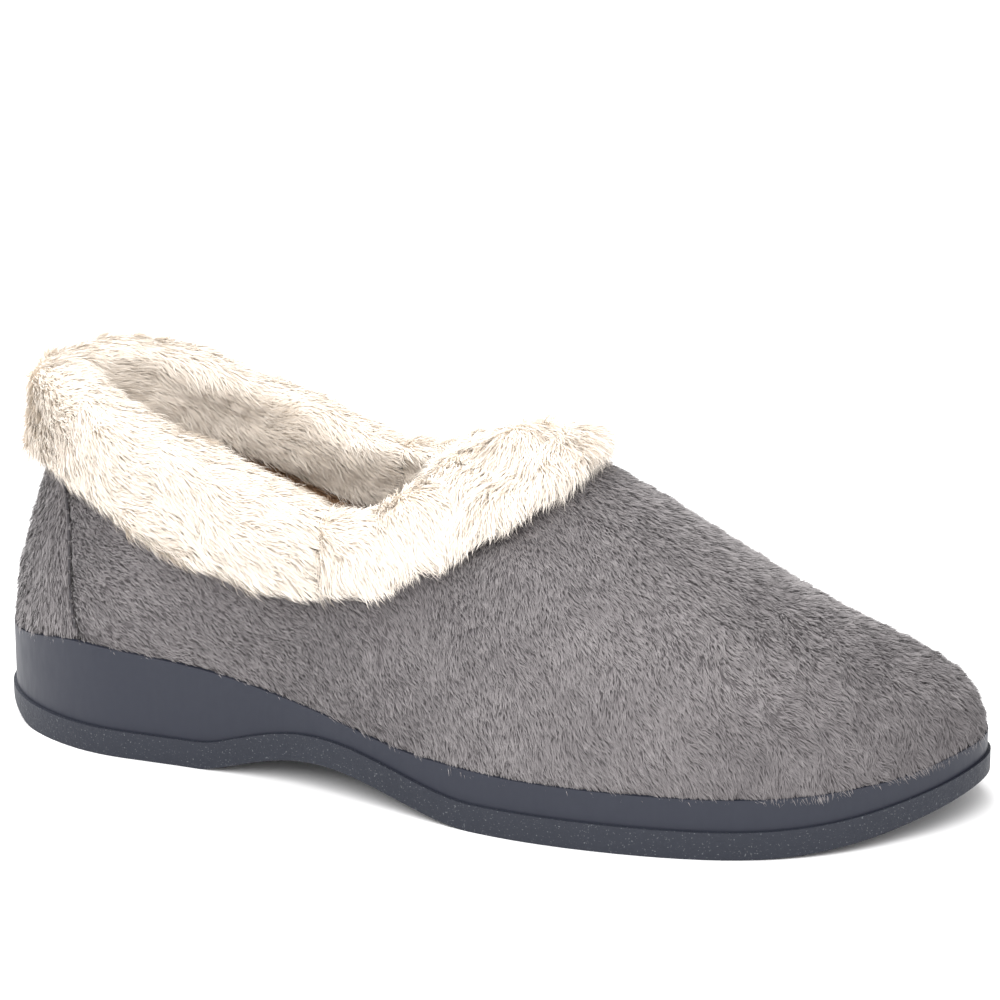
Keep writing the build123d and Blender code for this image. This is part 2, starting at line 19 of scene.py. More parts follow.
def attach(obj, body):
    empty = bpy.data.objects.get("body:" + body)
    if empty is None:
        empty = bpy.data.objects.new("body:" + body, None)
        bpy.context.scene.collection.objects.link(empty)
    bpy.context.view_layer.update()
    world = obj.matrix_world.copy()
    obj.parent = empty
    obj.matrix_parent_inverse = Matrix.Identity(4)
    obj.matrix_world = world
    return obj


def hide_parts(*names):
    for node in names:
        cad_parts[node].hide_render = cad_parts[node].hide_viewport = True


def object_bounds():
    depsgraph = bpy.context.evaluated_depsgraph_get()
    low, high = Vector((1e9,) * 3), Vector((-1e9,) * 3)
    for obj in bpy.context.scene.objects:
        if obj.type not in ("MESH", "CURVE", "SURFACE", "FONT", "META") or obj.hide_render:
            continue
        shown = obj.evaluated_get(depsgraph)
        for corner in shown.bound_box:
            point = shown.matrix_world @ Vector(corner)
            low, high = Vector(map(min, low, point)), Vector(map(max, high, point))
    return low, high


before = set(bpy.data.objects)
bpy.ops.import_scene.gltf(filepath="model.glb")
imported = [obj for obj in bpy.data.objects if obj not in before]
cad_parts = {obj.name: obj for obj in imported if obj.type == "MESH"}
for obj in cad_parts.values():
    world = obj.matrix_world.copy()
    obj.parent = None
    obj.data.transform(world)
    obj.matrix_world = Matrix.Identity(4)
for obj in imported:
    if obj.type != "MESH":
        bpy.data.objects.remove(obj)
CAD_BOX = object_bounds()
LOG = logging.getLogger("slipper")
MM = 0.001
BODY = "root"
HAIR_MAP = "OFBake"
HAIR_MAP_HALF = 0.01  # half of a hair's width on that map
MOST_TRIANGLES = 195000  # in one object of a pile
CELL_PRIMES = np.array([73856093, 19349663, 83492791])  # number the cells that gather a lock


# ---------------------------------------------------------------- finishes


class Socket:
    """A value socket that takes part in Python expressions, each of which adds a Math node."""

    def __init__(self, shader: "Shader", output: bpy.types.NodeSocket) -> None:
        """Wrap an output socket of a shader's tree."""
        self.shader = shader
        self.output = output

    def _math(self, operation: str, *values: "Socket | float") -> "Socket":
        """Add a Math node of one operation on these values."""
        return self.shader.node("ShaderNodeMath", {"operation": operation}, dict(enumerate(values)))

    def __add__(self, other: "Socket | float") -> "Socket":
        """Sum."""
        return self._math("ADD", self, other)

    __radd__ = __add__

    def __mul__(self, other: "Socket | float") -> "Socket":
        """Product."""
        return self._math("MULTIPLY", self, other)

    __rmul__ = __mul__

    def __sub__(self, other: "Socket | float") -> "Socket":
        """Difference."""
        return self._math("SUBTRACT", self, other)

    def __rsub__(self, other: float) -> "Socket":
        """Difference from a number."""
        return self._math("SUBTRACT", other, self)

    def __truediv__(self, other: "Socket | float") -> "Socket":
        """Quotient."""
        return self._math("DIVIDE", self, other)

    def __pow__(self, other: float) -> "Socket":
        """Power."""
        return self._math("POWER", self, other)

    def above(self, limit: float, spread: float) -> "Socket":
        """Rise from 0 at a limit to 1 at that limit plus a spread."""
        settings = {"operation": "MULTIPLY", "use_clamp": True}
        return self.shader.node("ShaderNodeMath", settings, {0: self - limit, 1: 1 / spread})


@dataclass
class Shader:
    """One material's node tree, with a Principled shader at its end."""

    name: str
    roughness: float = 0.8
    sheen: float = 0.0
    specular: float = 0.3
    material: bpy.types.Material = field(init=False)
    surface: bpy.types.ShaderNode = field(init=False)

    def __post_init__(self) -> None:
        """Make the material and set the finish that is the same all over."""
        self.material = bpy.data.materials.new(self.name)
        self.material.use_nodes = True
        self.surface = self.material.node_tree.nodes["Principled BSDF"]
        self.surface.inputs["Roughness"].default_value = self.roughness
        self.surface.inputs["Sheen Weight"].default_value = self.sheen
        self.surface.inputs["Specular IOR Level"].default_value = self.specular

    def node(self, kind: str, settings: dict, inputs: dict, output: int | str = 0) -> Socket:
        """Add a node.

        Args:
            kind: Blender's name of the node type.
            settings: Attributes to set first.
            inputs: Values or sockets for the inputs, by index or name.
            output: Which output to return.

        Returns:
            The chosen output as a socket.
        """
        made = self.material.node_tree.nodes.new(kind)
        for key, value in settings.items():
            setattr(made, key, value)
        for key, value in inputs.items():
            if isinstance(value, Socket):
                self.material.node_tree.links.new(value.output, made.inputs[key])
            else:
                made.inputs[key].default_value = value
        return Socket(self, made.outputs[output])

    def place(self) -> Socket:
        """The point on the object, in its own coordinates."""
        return self.node("ShaderNodeTexCoord", {}, {}, "Object")

    def scaled(self, factors: tuple[float, float, float]) -> Socket:
        """The point on the object, with each coordinate multiplied by its factor."""
        return self.node("ShaderNodeMapping", {}, {"Vector": self.place(), "Scale": factors})

    def noise(self, scale: float, detail: float = 3.0, point: Socket | None = None) -> Socket:
        """Cloudy noise from 0 to 1, scale features to the metre."""
        inputs = {"Vector": point or self.place(), "Scale": scale, "Detail": detail}
        return self.node("ShaderNodeTexNoise", {}, inputs)

    def blend(self, share: Socket, first: tuple | Socket, second: tuple | Socket) -> Socket:
        """Mix two colours; share 0 gives the first and 1 the second."""
        colours = {"Factor": share, 6: first, 7: second}
        return self.node("ShaderNodeMix", {"data_type": "RGBA"}, colours, 2)

    def colour(self, value: Socket) -> None:
        """Feed the base colour."""
        self.material.node_tree.links.new(value.output, self.surface.inputs["Base Color"])

    def rough(self, value: Socket) -> None:
        """Feed the roughness."""
        self.material.node_tree.links.new(value.output, self.surface.inputs["Roughness"])

    def bump(self, height: Socket, depth: float) -> None:
        """Raise the surface by height times depth, in metres."""
        inputs = {"Height": height, "Distance": depth, "Strength": 1.0}
        bumped = self.node("ShaderNodeBump", {}, inputs, "Normal")
        self.material.node_tree.links.new(bumped.output, self.surface.inputs["Normal"])


def rgba(red: float, green: float, blue: float) -> tuple[float, float, float, float]:
    """A solid colour in linear light."""
    return (red, green, blue, 1.0)


@dataclass(frozen=True)
class PileFinish:
    """Colours of a pile: at the root, and at the tip of its darkest and lightest hairs."""

    name: str
    root: tuple
    dark: tuple
    light: tuple
    roughness: float = 0.85
    sheen: float = 0.2

    def hair(self) -> bpy.types.Material:
        """The hairs: the map's first coordinate is a hair's tone and its second the way along."""
        shader = Shader(self.name + "_hair", self.roughness, self.sheen, 0.2)
        uv = shader.node("ShaderNodeUVMap", {"uv_map": HAIR_MAP}, {}, "UV")
        tone = shader.node("ShaderNodeSeparateXYZ", {}, {"Vector": uv}, "X")
        along = shader.node("ShaderNodeSeparateXYZ", {}, {"Vector": uv}, "Y")
        tip = shader.blend(tone, self.dark, self.light)
        shader.colour(shader.blend(along**0.7, self.root, tip))
        return shader.material

    def skin(self) -> bpy.types.Material:
        """The cloth under the hairs, in the colour of their roots and lower halves."""
        shader = Shader(self.name + "_cloth", 0.95, self.sheen, 0.1)
        fine = shader.noise(1400.0, 2.0)
        patch = shader.noise(60.0, 3.0)
        low = tuple(0.5 * (a + b) for a, b in zip(self.root, self.dark))
        shader.colour(shader.blend(fine * 0.6 + patch * 0.4, self.root, low))
        shader.bump(fine, 0.4 * MM)
        return shader.material


@dataclass(frozen=True)
class RubberFinish:
    """Moulded sole rubber: satin where the mould is smooth, grainy where it is textured."""

    name: str
    dark: tuple
    light: tuple
    roughness: float
    grain_depth: float
    grain_scale: float
    dust: float  # how strongly pale dust specks show on the rubber, from 0 to 1

    def material(self) -> bpy.types.Material:
        """Dress the rubber with cloudy colour, faint scuffs, the mould's grain and dust."""
        shader = Shader(self.name, self.roughness, 0.0, 0.35)
        cloud = shader.noise(28.0, 4.0)
        scuff = shader.noise(700.0, 2.0, shader.scaled((1.0, 1.0, 0.25)))
        grain = shader.noise(self.grain_scale, 3.0)
        speck = shader.noise(2300.0, 1.0).above(0.66, 0.08) * self.dust
        rubber = shader.blend(cloud * 0.6 + grain * 0.4, self.dark, self.light)
        shader.colour(shader.blend(speck, rubber, DUST))
        shader.rough(scuff * 0.18 + (self.roughness - 0.09))
        shader.bump(grain + scuff * 0.2, self.grain_depth)
        return shader.material


@dataclass(frozen=True)
class SheetFinish:
    """A plain inner sheet, such as board, felt, foam or tape."""

    name: str
    dark: tuple
    light: tuple
    scale: float
    depth: float
    stretch: tuple = (1.0, 1.0, 1.0)

    def material(self) -> bpy.types.Material:
        """Dress the sheet with its fibres or cells."""
        shader = Shader(self.name, 0.9, 0.0, 0.2)
        cell = shader.noise(self.scale, 4.0, shader.scaled(self.stretch))
        shader.colour(shader.blend(cell, self.dark, self.light))
        shader.bump(cell, self.depth)
        return shader.material


GREY_PLUSH = PileFinish(
    "grey_plush", rgba(0.118, 0.107, 0.111), rgba(0.185, 0.172, 0.176), rgba(0.36, 0.338, 0.34)
)
CREAM_FUR = PileFinish(
    "cream_fur", rgba(0.9, 0.815, 0.71), rgba(0.88, 0.8, 0.71), rgba(0.93, 0.87, 0.795), 0.8, 0.15
)
TAN_PLUSH = PileFinish(
    "tan_plush", rgba(0.2, 0.11, 0.06), rgba(0.4, 0.25, 0.15), rgba(0.58, 0.41, 0.28)
)
SOLE_WALL = RubberFinish(
    "sole_wall",
    dark=rgba(0.013, 0.0152, 0.0255),
    light=rgba(0.0197, 0.0228, 0.0358),
    roughness=0.5,
    grain_depth=0.02 * MM,
    grain_scale=500.0,
    dust=0.0,
)
SOLE_TREAD = RubberFinish(
    "sole_tread",
    dark=rgba(0.0108, 0.013, 0.0208),
    light=rgba(0.0225, 0.026, 0.038),
    roughness=0.6,
    grain_depth=0.25 * MM,
    grain_scale=1300.0,
    dust=0.55,
)
SHEETS = {
    "bottom_filler": SheetFinish(
        "felt", rgba(0.2, 0.18, 0.16), rgba(0.42, 0.4, 0.36), 900.0, 0.2 * MM
    ),
    "insole_board": SheetFinish(
        "board", rgba(0.38, 0.28, 0.18), rgba(0.6, 0.48, 0.34), 1600.0, 0.05 * MM
    ),
    "heel_counter": SheetFinish(
        "board_heel", rgba(0.4, 0.3, 0.2), rgba(0.6, 0.5, 0.36), 1600.0, 0.05 * MM
    ),
    "toe_puff": SheetFinish(
        "board_toe", rgba(0.4, 0.3, 0.2), rgba(0.6, 0.5, 0.36), 1600.0, 0.05 * MM
    ),
    "foam_interlining": SheetFinish(
        "foam_sheet", rgba(0.7, 0.66, 0.55), rgba(0.9, 0.87, 0.78), 2200.0, 0.1 * MM
    ),
    "topline_tape": SheetFinish(
        "tape", rgba(0.45, 0.43, 0.4), rgba(0.7, 0.68, 0.64), 1500.0, 0.1 * MM, (1, 1, 3)
    ),
    "heel_seam_stitches": SheetFinish(
        "thread", rgba(0.03, 0.028, 0.03), rgba(0.09, 0.085, 0.09), 4000.0, 0.05 * MM
    ),
    "lining_seam_stitches": SheetFinish(
        "thread_tan", rgba(0.1, 0.06, 0.035), rgba(0.2, 0.13, 0.08), 4000.0, 0.05 * MM
    ),
}
FOOTBED_FOAM = SheetFinish(
    "foam_cushion", rgba(0.72, 0.66, 0.5), rgba(0.92, 0.88, 0.76), 2600.0, 0.1 * MM
)
DUST = rgba(0.17, 0.18, 0.19)


# ---------------------------------------------------------------- meshes


def only(piece: bpy.types.Object) -> None:
    """Deselect everything, then select one object and make it active."""
    bpy.ops.object.select_all(action="DESELECT")
    piece.select_set(True)
    bpy.context.view_layer.objects.active = piece


def copy_of_node(node: str, name: str) -> bpy.types.Object:
    """A copy of a frame node with its own merged mesh and no material."""
    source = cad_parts[node]
    piece = source.copy()
    piece.data = source.data.copy()
    piece.name = name
    piece.parent = None
    piece.matrix_world = source.matrix_world
    bpy.context.scene.collection.objects.link(piece)
    only(piece)
    bpy.ops.object.mode_set(mode="EDIT")
    bpy.ops.mesh.select_all(action="SELECT")
    bpy.ops.mesh.remove_doubles(threshold=0.01 * MM)
    bpy.ops.object.mode_set(mode="OBJECT")
    piece.data.materials.clear()
    return piece


def apply_modifier(piece: bpy.types.Object, kind: str, **settings: object) -> None:
    """Add a modifier with these settings and apply it."""
    modifier = piece.modifiers.new(kind.lower(), kind)
    for key, value in settings.items():
        setattr(modifier, key, value)
    only(piece)
    bpy.ops.object.modifier_apply(modifier=modifier.name)


def finish_piece(
    piece: bpy.types.Object, material: bpy.types.Material, slot: str, *nodes: str
) -> None:
    """Give a piece its material and tell the frame what it rides on and stands for.

    Args:
        piece: The finished piece.
        material: What it is dressed in.
        slot: The record's material slot that it takes its finish from; not used.
        nodes: Frame nodes that it stands for.
    """
    piece.data.materials.clear()
    piece.data.materials.append(material)
    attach(piece, BODY)
    if nodes:
        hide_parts(*nodes)
    area = sum(face.area for face in piece.data.polygons) / (MM * MM)
    LOG.info("%s: %d faces, %.0f square mm", piece.name, len(piece.data.polygons), area)


def soft_noise(points: np.ndarray, scale: float, seed: int) -> np.ndarray:
    """Smooth noise from -1 to 1, made of a few waves in fixed directions.

    Args:
        points: Points in metres, one to a row.
        scale: Length of the longest wave, in metres.
        seed: Chooses the waves.

    Returns:
        One value for each point.
    """
    draw = np.random.default_rng(seed)
    total = np.zeros(len(points))
    weight = 0.0
    for octave in range(9):
        way = draw.normal(size=3)
        way *= (2 * math.pi / scale) * (1.0 + 0.55 * octave) / np.linalg.norm(way)
        share = 1.0 / (1.0 + 0.4 * octave)
        total += share * np.sin(points @ way + draw.uniform(0, 2 * math.pi))
        weight += share * share
    return np.clip(total / (1.6 * math.sqrt(weight)), -1, 1)


def points_of(mesh: bpy.types.Mesh) -> tuple[np.ndarray, np.ndarray]:
    """The places and normals of a mesh's points, one to a row."""
    places = np.empty(len(mesh.vertices) * 3, dtype=np.float32)
    mesh.vertices.foreach_get("co", places)
    normals = np.empty(len(mesh.vertices) * 3, dtype=np.float32)
    mesh.vertex_normals.foreach_get("vector", normals)
    return places.reshape(-1, 3).astype(float), normals.reshape(-1, 3).astype(float)


def triangles_of(piece: bpy.types.Object) -> tuple[np.ndarray, np.ndarray, np.ndarray]:
    """Corner points of a mesh's triangles, each one's corner normals, and each one's area."""
    mesh = piece.data
    mesh.calc_loop_triangles()
    corners = np.empty(len(mesh.loop_triangles) * 3, dtype=np.int32)
    mesh.loop_triangles.foreach_get("vertices", corners)
    corners = corners.reshape(-1, 3)
    places, normals = points_of(mesh)
    points = places[corners]
    area = 0.5 * np.linalg.norm(
        np.cross(points[:, 1] - points[:, 0], points[:, 2] - points[:, 0]), axis=1
    )
    return points, normals[corners], area


@dataclass
class Scalp:
    """Points spread evenly over the open part of a skin, with the way out of it at each."""

    points: np.ndarray
    normals: np.ndarray

    @classmethod
    def on(
        cls, skin: bpy.types.Object, density: float, seed: int, covered_by: list, cover_gap: float
    ) -> "Scalp":
        """Scatter points over a skin.

        Args:
            skin: The cloth that the hairs stand on.
            density: Hairs to the square millimetre.
            seed: Chooses the points.
            covered_by: Objects that hide the skin where they lie on it.
            cover_gap: How near such an object is to hide the skin, in metres.

        Returns:
            The points that nothing lies on.
        """
        corners, normals, area = triangles_of(skin)
        draw = np.random.default_rng(seed)
        count = int(area.sum() / (MM * MM) * density)
        chosen = np.searchsorted(np.cumsum(area) / area.sum(), draw.random(count))
        chosen = np.minimum(chosen, len(area) - 1)
        first, second = draw.random(count), draw.random(count)
        over = first + second > 1
        first[over], second[over] = 1 - first[over], 1 - second[over]
        weights = np.stack([1 - first - second, first, second], axis=1)[:, :, None]
        points = (corners[chosen] * weights).sum(axis=1)
        out = (normals[chosen] * weights).sum(axis=1)
        out /= np.maximum(np.linalg.norm(out, axis=1, keepdims=True), 1e-9)
        keep = np.ones(count, dtype=bool)
        for other in covered_by:
            keep &= ~near_surface(points, out, other, cover_gap)
        return cls(points[keep], out[keep])

    def where(self, keep: np.ndarray) -> "Scalp":
        """The points that keep picks."""
        return Scalp(self.points[keep], self.normals[keep])


_TREES: dict[str, BVHTree] = {}
ROOT_DEPTH = 0.3 * MM  # how far inside its skin a hair starts to look for a cover


def tree_of(piece: bpy.types.Object) -> BVHTree:
    """The search tree of an object's mesh, made once."""
    if piece.name not in _TREES:
        shape = bmesh.new()
        shape.from_mesh(piece.data)
        _TREES[piece.name] = BVHTree.FromBMesh(shape)
        shape.free()
    return _TREES[piece.name]


def near_surface(
    points: np.ndarray, normals: np.ndarray, other: bpy.types.Object, gap: float
) -> np.ndarray:
    """Whether another object's surface lies within a gap of each point, on the outer side of it."""
    tree = tree_of(other)
    box = np.array([list(corner) for corner in other.bound_box])
    low, high = box.min(axis=0) - gap, box.max(axis=0) + gap
    inside = np.all((points > low) & (points < high), axis=1)
    found = np.zeros(len(points), dtype=bool)
    for index in np.flatnonzero(inside):
        start = Vector(points[index] - normals[index] * ROOT_DEPTH)
        hit = tree.ray_cast(start, Vector(normals[index]), gap + ROOT_DEPTH)
        found[index] = hit[0] is not None
    return found


class Nap(Enum):
    """Which way a pile is brushed."""

    VAMP = "forwards and down the slope"
    HEEL = "down the heel"
    CUFF = "along the cuff, and down over its front"
    INSIDE = "down the inner wall"


def nap_direction(points: np.ndarray, normals: np.ndarray, nap: Nap, seed: int) -> np.ndarray:
    """Unit vectors along the cloth, the way its hairs are brushed.

    Args:
        points: Roots of the hairs, in metres.
        normals: Ways out of the cloth at the roots.
        nap: How the piece is brushed.
        seed: Chooses the swirls.

    Returns:
        One direction for each root.
    """
    low, high = CAD_BOX
    along = (points[:, 0] - low.x) / (high.x - low.x)
    swirl = soft_noise(points, 34 * MM, seed)
    ruffle = soft_noise(points, 11 * MM, seed + 1)
    if nap is Nap.VAMP:
        fall = np.interp(along, [0.1, 0.35, 0.55, 0.8, 1.0], [12, 22, 56, 48, 40])
        toe = np.interp(along, [0.72, 0.9], [0, 1])
        fall = fall + (16 + 20 * toe) * swirl + (12 + 34 * toe) * ruffle
    elif nap is Nap.HEEL:
        fall = 72 + 14 * swirl + 10 * ruffle
    elif nap is Nap.CUFF:
        fall = np.interp(along, [0.0, 0.3, 0.42, 0.5, 0.62], [30, 18, 34, 66, 80])
        fall = fall + 30 * swirl + 26 * ruffle
    else:
        fall = 60 + 30 * swirl + 20 * ruffle
    fall = np.radians(fall)
    side = np.where(normals[:, 1] < 0, -1.0, 1.0) * np.minimum(np.abs(normals[:, 1]) * 3, 1)
    way = np.stack([np.cos(fall), 0.5 * side * np.sin(fall), -np.sin(fall)], axis=1)
    way -= normals * (way * normals).sum(axis=1, keepdims=True)
    return way / np.maximum(np.linalg.norm(way, axis=1, keepdims=True), 1e-9)


@dataclass(frozen=True)
class Pile:
    """How hairs grow: their size, how they lean, and how they gather into locks."""

    length: float
    width: float
    density: float
    lean: float  # degrees from upright, at the tip
    joints: int  # points along a hair below its tip
    lock: float  # size of a lock, in metres
    gather: float  # how far a hair's tip is drawn to its lock's, from 0 to 1
    ragged: float  # spread of the hairs' lengths
    tone_patch: float = 0.22  # how much the tone varies from patch to patch,
    tone_lock: float = 0.16  # from lock to lock,
    tone_hair: float = 0.1  # and from hair to hair
    flatten: float = 0.0  # degrees more that a hair leans where the cloth faces up
    crisp: float = 0.5  # how far a hair's shading follows the hair rather than the cloth
    roll: float = 0.4  # how far a hair's flat side is turned away from the cloth's way out

    def grow(
        self,
        name: str,
        scalp: Scalp,
        way: np.ndarray,
        seed: int,
        stretch: np.ndarray,
        painted_light_shade: np.ndarray,
    ) -> list[bpy.types.Object]:
        """Grow the hairs as ribbons that taper to a point.

        Args:
            name: Name of the piece, to which a number is added.
            scalp: Roots of the hairs.
            way: Unit vectors along the cloth, the way it is brushed.
            seed: Chooses lengths, tones and turns.
            stretch: Each hair's length as a share of the usual one.
            painted_light_shade: How much lighter each hair is coloured than usual, from -1 to 1:
                painted light and shade.

        Returns:
            One or more objects of under 200,000 triangles each.
        """
        draw = np.random.default_rng(seed)
        roots, out = scalp.points, scalp.normals
        count = len(roots)
        across = np.cross(out, way)
        turn = draw.normal(0, 0.22, count)[:, None]
        way = way * np.cos(turn) + across * np.sin(turn)
        length = self.length * stretch * np.clip(draw.normal(1, self.ragged, count), 0.45, 1.6)
        length = length * (1 + 0.18 * soft_noise(roots, 9 * MM, seed + 2))
        lean = self.lean + draw.normal(0, 8, count) + 8 * soft_noise(roots, 6 * MM, seed + 3)
        lean = np.radians(np.minimum(lean + self.flatten * np.maximum(out[:, 2], 0), 80))
        rise = (length * np.cos(lean))[:, None]
        reach = (length * np.sin(lean))[:, None]
        tips = roots + out * rise + way * reach
        jitter = draw.normal(0, 0.35, (count, 3)) * self.lock
        cells = np.floor((roots + jitter) / self.lock).astype(np.int64)
        keys = np.bitwise_xor.reduce(cells * CELL_PRIMES, axis=1)
        _, lock = np.unique(keys, return_inverse=True)
        members = np.bincount(lock).astype(float)
        middle = np.stack([np.bincount(lock, tips[:, i]) / members for i in range(3)], axis=1)
        pull = self.gather * draw.uniform(0.6, 1.1, count)[:, None]
        tips = tips + (middle[lock] - tips) * pull
        bend = roots + out * rise * 0.75 + way * reach * 0.28
        lock_tone = draw.normal(0, 1, len(members))[lock]
        tone = 0.5 + self.tone_patch * soft_noise(roots, 42 * MM, seed + 4)
        tone = tone + self.tone_lock * lock_tone + draw.normal(0, self.tone_hair, count)
        # add each hair's painted light and shade to its tone
        tone = np.clip(tone + painted_light_shade, 0.02, 0.98)
        steps = np.arange(self.joints) / self.joints
        spine = [(1 - t) ** 2 * roots + 2 * t * (1 - t) * bend + t * t * tips for t in steps]
        side = np.cross(way, out)
        side += self.roll * draw.normal(0, 1, count)[:, None] * out
        side /= np.linalg.norm(side, axis=1, keepdims=True)
        face = np.cross(side, tips - roots)
        face /= np.linalg.norm(face, axis=1, keepdims=True)
        shine = out + self.crisp * face
        shine /= np.linalg.norm(shine, axis=1, keepdims=True)
        half = 0.5 * self.width * draw.uniform(0.75, 1.25, count)[:, None]
        rows = []
        for t, centre in zip(steps, spine):
            taper = half * (1 - 0.55 * t)
            rows += [centre - side * taper, centre + side * taper]
        rows.append(tips)
        corners = np.stack(rows, axis=1)
        faces_each = 2 * self.joints - 1
        share = int(MOST_TRIANGLES / faces_each)
        pieces = []
        for number, start in enumerate(range(0, count, share), start=1):
            part = slice(start, start + share)
            pieces.append(self._mesh(f"{name}_{number}", corners[part], tone[part], shine[part]))
        return pieces

    def _mesh(
        self, name: str, corners: np.ndarray, tone: np.ndarray, shine: np.ndarray
    ) -> bpy.types.Object:
        """Make one object of ribbons.

        Args:
            name: Name of the object.
            corners: Each ribbon's corners, in pairs from its root up, and then its tip.
            tone: Each ribbon's tone, from 0 to 1.
            shine: The way that each ribbon faces, for its shading.

        Returns:
            The object.
        """
        count, each = corners.shape[:2]
        sides = self.joints - 1
        start = (np.arange(count) * each)[:, None]
        quads = [start + np.array([[2 * i, 2 * i + 1, 2 * i + 3, 2 * i + 2]]) for i in range(sides)]
        last = start + np.array([[each - 3, each - 2, each - 1]])
        loops = np.concatenate([*quads, last], axis=1).ravel()
        sizes = np.tile([4] * sides + [3], count)
        mesh = bpy.data.meshes.new(name)
        mesh.vertices.add(count * each)
        mesh.vertices.foreach_set("co", corners.reshape(-1).astype(np.float32))
        mesh.loops.add(len(loops))
        mesh.loops.foreach_set("vertex_index", loops.astype(np.int32))
        mesh.polygons.add(len(sizes))
        starts = np.concatenate([[0], np.cumsum(sizes)[:-1]])
        mesh.polygons.foreach_set("loop_start", starts.astype(np.int32))
        mesh.polygons.foreach_set("use_smooth", np.ones(len(sizes), dtype=bool))
        height = np.repeat(np.arange(self.joints) / self.joints, 2)
        height = np.append(height, 1.0)
        offset = np.append(np.tile([-HAIR_MAP_HALF, HAIR_MAP_HALF], self.joints), 0.0)
        u = (tone[:, None] + offset[None, :]).ravel()[loops]
        v = np.tile(height, count)[loops]
        mesh.uv_layers.new(name=HAIR_MAP)
        uv = np.stack([u, v], axis=1).astype(np.float32)
        mesh.uv_layers[HAIR_MAP].data.foreach_set("uv", uv.ravel())
        mesh.update(calc_edges=True)
        mesh.validate()
        mesh.normals_split_custom_set_from_vertices(np.repeat(shine, each, axis=0))
        piece = bpy.data.objects.new(name, mesh)
        bpy.context.scene.collection.objects.link(piece)
        return piece


# ---------------------------------------------------------------- parts of the slipper


@dataclass(frozen=True)
class Cut:
    """The flat piece that a sheet was cut to, before it was sewn and pulled over the last."""

    width: float
    length: float
    area: float  # less than width times length, as the cut is curved
    rests_on: str
    held: str = "stretched"

    def declare(self, skin: bpy.types.Object) -> None:
        """Take a skin and do nothing with it."""


@dataclass
class Cloth:
    """One soft piece: a cloth skin that stands for a frame node, and the pile that grows on it."""

    node: str
    slot: str
    finish: PileFinish
    pile: Pile
    nap: Nap
    seed: int
    grain: float = 1.5 * MM  # size of the skin's faces
    swell: float = 0.35 * MM  # height of its soft unevenness
    gap: float = 2.2 * MM  # how near another piece stops the pile
    rounding: int = 2  # how often the skin's edges are smoothed
    covers: tuple[str, ...] = ()
    skin: bpy.types.Object = field(init=False)

    def lay(self) -> bpy.types.Object:
        """Make the skin: the node's solid with rounded edges and a soft unevenness.

        Returns:
            The skin's object.
        """
        self.skin = copy_of_node(self.node, self.node + "_cloth")
        voxels = {"mode": "VOXEL", "voxel_size": self.grain, "use_smooth_shade": True}
        apply_modifier(self.skin, "REMESH", **voxels)
        apply_modifier(self.skin, "SMOOTH", factor=0.5, iterations=self.rounding)
        mesh = self.skin.data
        places, normals = points_of(mesh)
        rise = self.swell * soft_noise(places, 16 * MM, self.seed)
        places += normals * rise[:, None]
        mesh.vertices.foreach_set("co", places.ravel().astype(np.float32))
        mesh.update()
        finish_piece(self.skin, self.finish.skin(), self.slot, self.node)
        return self.skin

    def grow(self) -> int:
        """Grow the pile on the open parts of the skin.

        Returns:
            How many hairs there are.
        """
        covers = [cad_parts[name] for name in self.covers]
        scalp = self.trim(Scalp.on(self.skin, self.pile.density, self.seed, covers, self.gap))
        way = nap_direction(scalp.points, scalp.normals, self.nap, self.seed + 20)
        material = self.finish.hair()
        along = (scalp.points[:, 0] - CAD_BOX[0].x) / (CAD_BOX[1].x - CAD_BOX[0].x)
        name = self.node + "_pile"
        # each hair's length, and its painted light and shade
        stretch, painted_light_shade = self.stretch(scalp, along), self.painted_light_shade(scalp, along)
        for piece in self.pile.grow(name, scalp, way, self.seed + 40, stretch, painted_light_shade):
            finish_piece(piece, material, self.slot)
        return len(scalp.points)

    def trim(self, scalp: Scalp) -> Scalp:
        """Leave out the roots where the pile is worn or sewn down; here none are."""
        return scalp

    def stretch(self, scalp: Scalp, along: np.ndarray) -> np.ndarray:
        """Each hair's length as a share of the usual one, by its place along the slipper."""
        return np.ones(len(along))

    def painted_light_shade(self, scalp: Scalp, along: np.ndarray) -> np.ndarray:
        """Painted light and shade: how much lighter each hair is coloured than usual, by its place
        along the slipper; here none.
        """
        return np.zeros(len(along))


@dataclass
class GreyCloth(Cloth):
    """The grey cloth behind the heel seam or in front of it, parted along that seam."""

    parting: float = 0.75 * MM

    def trim(self, scalp: Scalp) -> Scalp:
        """Leave a narrow parting where the stitches of the heel seam run."""
        keep = ~near_points(scalp.points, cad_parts["heel_seam_stitches"], self.parting)
        return scalp.where(keep)

    def painted_light_shade(self, scalp: Scalp, along: np.ndarray) -> np.ndarray:
        """Painted light and shade: lighter hairs where the cloth faces up, and darker ones in
        patches towards the toe.
        """
        # painted shade: the hairs grow darker towards the toe, in patches
        painted_toe_shade = np.interp(along, [0.74, 0.92], [0, 1])
        patch = 0.5 + 0.5 * soft_noise(scalp.points, 26 * MM, self.seed + 60)
        # painted light: the hairs are lighter where the cloth faces up
        top = np.maximum(scalp.normals[:, 2] - 0.35, 0)
        return 0.6 * top - painted_toe_shade * (0.25 + 0.4 * patch)


@dataclass
class FurCloth(Cloth):
    """A length of the cuff's fur, tallest where the cuff rolls over the instep."""

    def stretch(self, scalp: Scalp, along: np.ndarray) -> np.ndarray:
        """Longer hairs over the instep, and shorter ones on the roll behind it."""
        over = np.maximum(scalp.normals[:, 2], 0)
        front = np.interp(along, [0.5, 0.56, 0.61, 0.64], [0, 1, 1, 0.3])
        return 1 + 0.3 * front * over - 0.22 * (1 - front) * over


